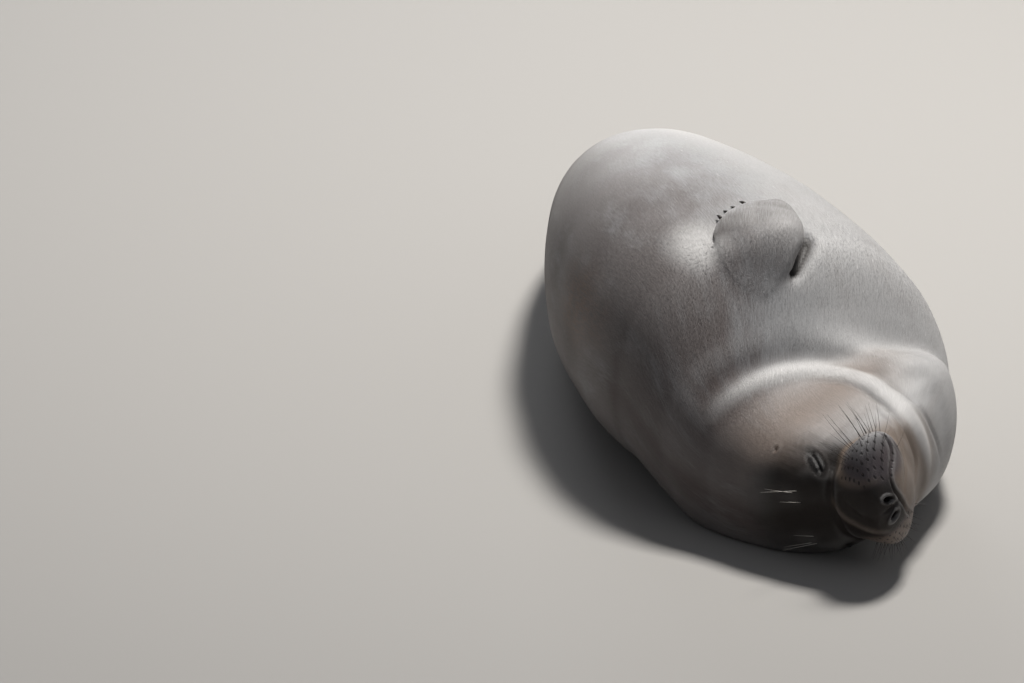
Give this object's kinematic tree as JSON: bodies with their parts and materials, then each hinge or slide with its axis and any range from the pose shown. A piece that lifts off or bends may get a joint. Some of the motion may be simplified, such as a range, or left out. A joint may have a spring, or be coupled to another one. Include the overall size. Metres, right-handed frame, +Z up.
{
  "type": "seal pup figure",
  "caption": "Life-size sleeping elephant seal pup lying on its side, fat smooth body, blunt whiskered muzzle, closed eyes, fore flipper folded on the flank.",
  "frame": {"origin": "centre of the bounding box's bottom face, on the floor the animal lies on", "axes": "+Z up out of the flank on top, -Y towards the nose, +Y towards the tail, +X towards the belly side, -X towards the back"},
  "size_m": [0.5793, 1.5631, 0.3643],
  "materials": {
    "coat": "short dense silver-grey fur, sleek, with a soft sheen",
    "face_skin": "short dark brown fur, paler and purple-grey on the whisker pads",
    "lid_skin": "dark bare skin, slightly wet at the closed slit",
    "flipper_skin": "short grey-brown fur over bare dark skin, dark claws"
  },
  "bodies": {
    "root": {"head": "face_skin", "lower_jaw": "face_skin", "eyelid_left": "lid_skin", "eyelid_right": "lid_skin", "neck": "coat", "chest": "coat", "belly": "coat", "hips": "coat", "tail": "coat", "fore_flipper_left": "flipper_skin", "fore_flipper_right": "flipper_skin", "hind_flipper_left": "flipper_skin", "hind_flipper_right": "flipper_skin"}
  },
  "joints": []
}
